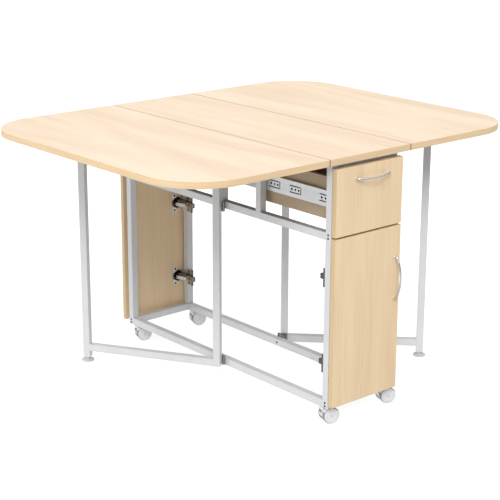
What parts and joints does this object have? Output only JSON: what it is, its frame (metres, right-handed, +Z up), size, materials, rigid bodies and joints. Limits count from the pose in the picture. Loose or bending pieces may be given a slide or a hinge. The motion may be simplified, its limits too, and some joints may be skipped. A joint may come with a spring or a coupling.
{
  "type": "gate-leg sewing table",
  "caption": "Folding sewing table: rolling steel tube frame, fixed centre panel, drop leaves held by swing-out gates, end drawers and doors.",
  "frame": {"origin": "centre of the footprint, on the floor", "axes": "+X along the frame towards the end whose door is hinged at the front, +Y across the leaves towards the back, +Z up"},
  "size_m": [1.0067, 1.2216, 0.75],
  "materials": {
    "top_board": "pale maple-pattern laminate, satin",
    "front_board": "maple-pattern laminate, satin",
    "frame_steel": "light grey powder coat, satin",
    "zinc": "bright zinc plate",
    "nickel": "nickel plate",
    "handle_chrome": "satin chrome",
    "plastic_white": "moulded, matte",
    "caster_white": "moulded, semi-gloss",
    "glide_grey": "moulded, matte"
  },
  "bodies": {
    "frame": {"top_centre": "top_board", "corner_posts": "frame_steel", "post_plugs": "plastic_white", "side_rails": "frame_steel", "end_rails": "frame_steel", "drawer_posts": "frame_steel", "centre_posts": "frame_steel", "frame_screws": "zinc", "leaf_hinge_fixed": "zinc", "gate_hinge_fixed": "zinc", "slide_outer": "zinc", "door_hinge_brackets": "frame_steel", "door_hinge_arms": "nickel", "caster_sockets": "plastic_white"},
    "leaf_front": {"leaf_front": "top_board", "leaf_hinge_front": "zinc"},
    "leaf_back": {"leaf_back": "top_board", "leaf_hinge_back": "zinc"},
    "gate_front": {"gate_front_posts": "frame_steel", "gate_front_rails": "frame_steel", "gate_front_plugs": "plastic_white", "gate_front_hinge": "zinc"},
    "glide_front": {"glide_front": "glide_grey"},
    "gate_back": {"gate_back_posts": "frame_steel", "gate_back_rails": "frame_steel", "gate_back_plugs": "plastic_white", "gate_back_hinge": "zinc"},
    "glide_back": {"glide_back": "glide_grey"},
    "drawer_right": {"drawer_right_front": "front_board", "drawer_right_sides": "front_board", "drawer_right_ends": "front_board", "drawer_right_bottom": "front_board", "drawer_right_handle": "handle_chrome", "drawer_right_runners": "zinc"},
    "slide_right": {"slide_right_middle": "zinc"},
    "door_right": {"door_right": "front_board", "door_right_cups": "nickel", "door_right_handle": "handle_chrome"},
    "drawer_left": {"drawer_left_front": "front_board", "drawer_left_sides": "front_board", "drawer_left_ends": "front_board", "drawer_left_bottom": "front_board", "drawer_left_handle": "handle_chrome", "drawer_left_runners": "zinc"},
    "slide_left": {"slide_left_middle": "zinc"},
    "door_left": {"door_left": "front_board", "door_left_cups": "nickel", "door_left_handle": "handle_chrome"},
    "caster_front_right": {"caster_front_right": "caster_white"},
    "wheels_front_right": {"wheels_front_right": "caster_white"},
    "caster_front_left": {"caster_front_left": "caster_white"},
    "wheels_front_left": {"wheels_front_left": "caster_white"},
    "caster_back_right": {"caster_back_right": "caster_white"},
    "wheels_back_right": {"wheels_back_right": "caster_white"},
    "caster_back_left": {"caster_back_left": "caster_white"},
    "wheels_back_left": {"wheels_back_left": "caster_white"}
  },
  "joints": [
    {"name": "leaf_front_lift", "type": "hinge", "parent": "frame", "child": "leaf_front", "pos_m": [0, -0.1493, 0.732], "axis": [-1, 0, 0], "range_deg": [0, 5.5]},
    {"name": "leaf_back_lift", "type": "hinge", "parent": "frame", "child": "leaf_back", "pos_m": [0, 0.1493, 0.732], "axis": [1, 0, 0], "range_deg": [0, 5.5]},
    {"name": "gate_front_swing", "type": "hinge", "parent": "frame", "child": "gate_front", "pos_m": [0.019, -0.1256, 0.3], "axis": [0, 0, 1], "range_deg": [-29.5, 58.5]},
    {"name": "gate_back_swing", "type": "hinge", "parent": "frame", "child": "gate_back", "pos_m": [-0.019, 0.1256, 0.3], "axis": [0, 0, 1], "range_deg": [-39.5, 45.5]},
    {"name": "glide_front_turn", "type": "hinge", "parent": "gate_front", "child": "glide_front", "pos_m": [-0.33886, -0.35885, 0.03], "axis": [0, 0, 1], "continuous": true},
    {"name": "glide_back_turn", "type": "hinge", "parent": "gate_back", "child": "glide_back", "pos_m": [0.27722, 0.43338, 0.03], "axis": [0, 0, 1], "continuous": true},
    {"name": "drawer_right_slide", "type": "slide", "parent": "frame", "child": "drawer_right", "axis": [1, 0, 0], "range_m": [0, 0.25]},
    {"name": "slide_right_middle_slide", "type": "slide", "parent": "frame", "child": "slide_right", "axis": [1, 0, 0], "range_m": [0, 0.13]},
    {"name": "door_right_hinge", "type": "hinge", "parent": "frame", "child": "door_right", "pos_m": [0.4574, -0.1234, 0.287], "axis": [0, 0, -1], "range_deg": [0, 105]},
    {"name": "drawer_left_slide", "type": "slide", "parent": "frame", "child": "drawer_left", "axis": [-1, 0, 0], "range_m": [0, 0.25]},
    {"name": "slide_left_middle_slide", "type": "slide", "parent": "frame", "child": "slide_left", "axis": [-1, 0, 0], "range_m": [0, 0.13]},
    {"name": "door_left_hinge", "type": "hinge", "parent": "frame", "child": "door_left", "pos_m": [-0.4574, 0.1234, 0.287], "axis": [0, 0, -1], "range_deg": [-2.5, 102.5]},
    {"name": "caster_front_right_swivel", "type": "hinge", "parent": "frame", "child": "caster_front_right", "pos_m": [0.425, -0.1106, 0.05], "axis": [0, 0, 1], "continuous": true},
    {"name": "wheels_front_right_spin", "type": "hinge", "parent": "caster_front_right", "child": "wheels_front_right", "pos_m": [0.43086, -0.09358, 0.023], "axis": [0.9455, -0.3256, 0], "continuous": true},
    {"name": "caster_front_left_swivel", "type": "hinge", "parent": "frame", "child": "caster_front_left", "pos_m": [-0.425, -0.1106, 0.05], "axis": [0, 0, 1], "continuous": true},
    {"name": "wheels_front_left_spin", "type": "hinge", "parent": "caster_front_left", "child": "wheels_front_left", "pos_m": [-0.41914, -0.09358, 0.023], "axis": [0.9455, -0.3256, 0], "continuous": true},
    {"name": "caster_back_right_swivel", "type": "hinge", "parent": "frame", "child": "caster_back_right", "pos_m": [0.425, 0.1106, 0.05], "axis": [0, 0, 1], "continuous": true},
    {"name": "wheels_back_right_spin", "type": "hinge", "parent": "caster_back_right", "child": "wheels_back_right", "pos_m": [0.43086, 0.12762, 0.023], "axis": [0.9455, -0.3256, 0], "continuous": true},
    {"name": "caster_back_left_swivel", "type": "hinge", "parent": "frame", "child": "caster_back_left", "pos_m": [-0.425, 0.1106, 0.05], "axis": [0, 0, 1], "continuous": true},
    {"name": "wheels_back_left_spin", "type": "hinge", "parent": "caster_back_left", "child": "wheels_back_left", "pos_m": [-0.41914, 0.12762, 0.023], "axis": [0.9455, -0.3256, 0], "continuous": true}
  ],
  "couplings": [
    {"joint": "slide_right_middle_slide", "follows": "drawer_right_slide", "ratio": 0.5},
    {"joint": "slide_left_middle_slide", "follows": "drawer_left_slide", "ratio": 0.5}
  ]
}
